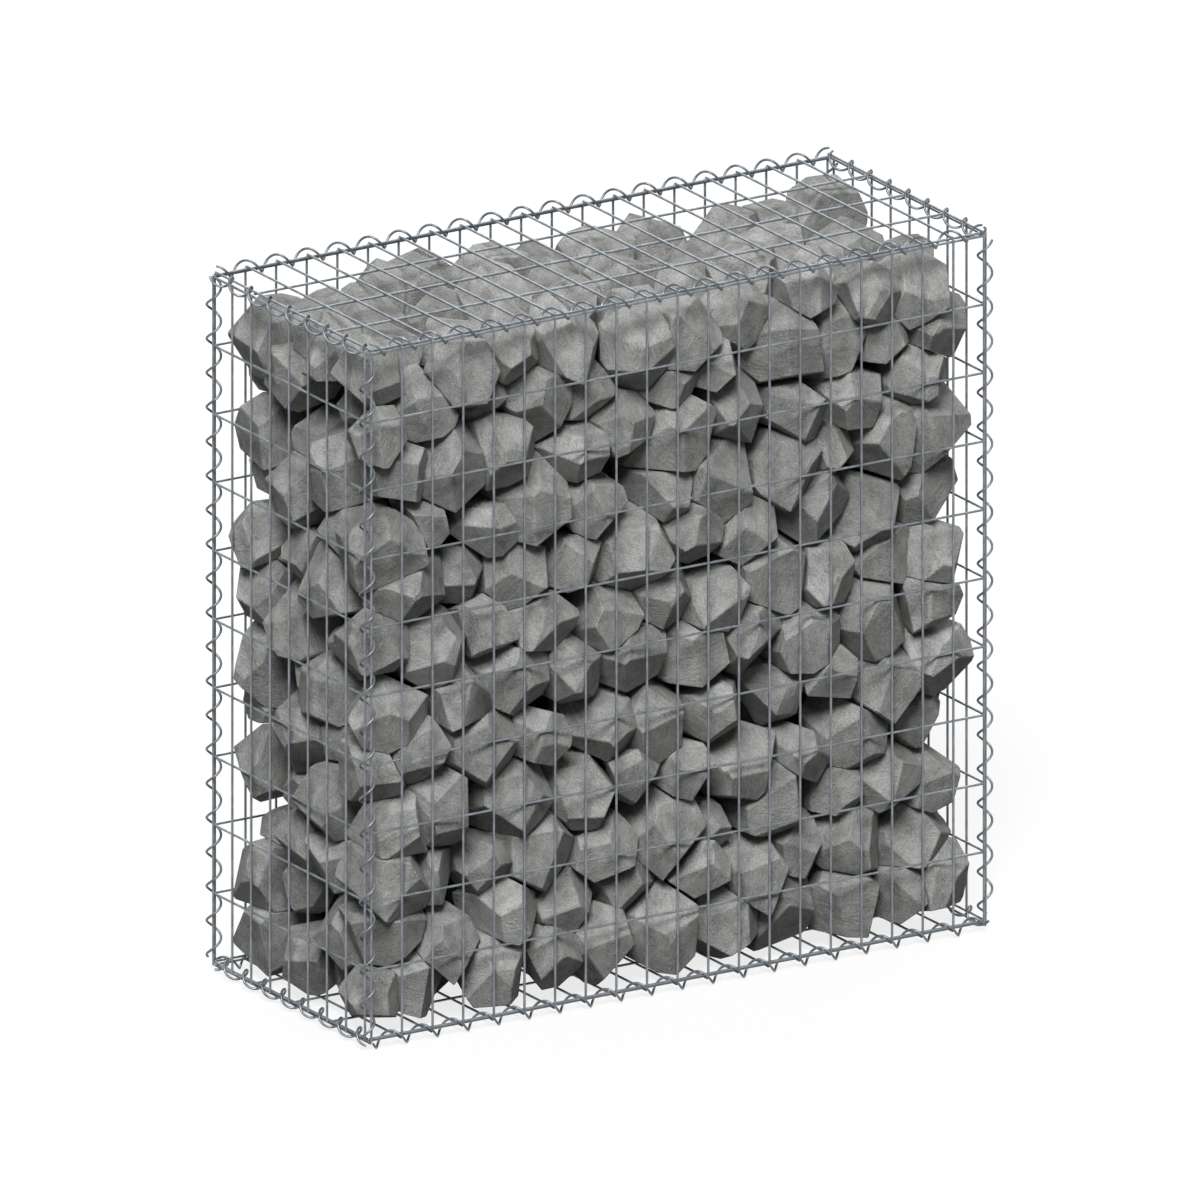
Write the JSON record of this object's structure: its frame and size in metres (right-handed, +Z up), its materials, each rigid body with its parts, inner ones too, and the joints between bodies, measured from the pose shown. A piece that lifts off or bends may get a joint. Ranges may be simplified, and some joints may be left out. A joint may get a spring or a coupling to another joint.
{
  "type": "gabion wall basket",
  "caption": "Free-standing gabion: a box of welded wire mesh panels laced along the edges with spiral binders and filled with angular rubble stone.",
  "frame": {"origin": "middle of the footprint, on the ground plane under the lower spirals", "axes": "+Z up, +X along the wall to the right, -Y towards the front face"},
  "size_m": [1.0323, 0.4283, 1.035],
  "materials": {
    "mesh_wire": "drawn steel wire, zinc coated, dull satin",
    "spiral_wire": "drawn steel spring wire, zinc coated, smooth satin",
    "rubble_stone": "quarry-broken grey stone, split faces with fine layers"
  },
  "bodies": {
    "root": {"front_mesh": "mesh_wire", "back_mesh": "mesh_wire", "left_mesh": "mesh_wire", "right_mesh": "mesh_wire", "base_mesh": "mesh_wire", "lid_mesh": "mesh_wire", "front_left_spiral": "spiral_wire", "front_right_spiral": "spiral_wire", "back_left_spiral": "spiral_wire", "back_right_spiral": "spiral_wire", "top_front_spiral": "spiral_wire", "top_back_spiral": "spiral_wire", "top_left_spiral": "spiral_wire", "top_right_spiral": "spiral_wire", "bottom_front_spiral": "spiral_wire", "bottom_back_spiral": "spiral_wire", "bottom_left_spiral": "spiral_wire", "bottom_right_spiral": "spiral_wire", "stone_course_01": "rubble_stone", "stone_course_02": "rubble_stone", "stone_course_03": "rubble_stone", "stone_course_04": "rubble_stone", "stone_course_05": "rubble_stone", "stone_course_06": "rubble_stone", "stone_course_07": "rubble_stone", "stone_course_08": "rubble_stone", "stone_course_09": "rubble_stone", "stone_course_10": "rubble_stone", "stone_course_11": "rubble_stone", "stone_course_12": "rubble_stone", "rubble_core": "rubble_stone"}
  },
  "joints": []
}
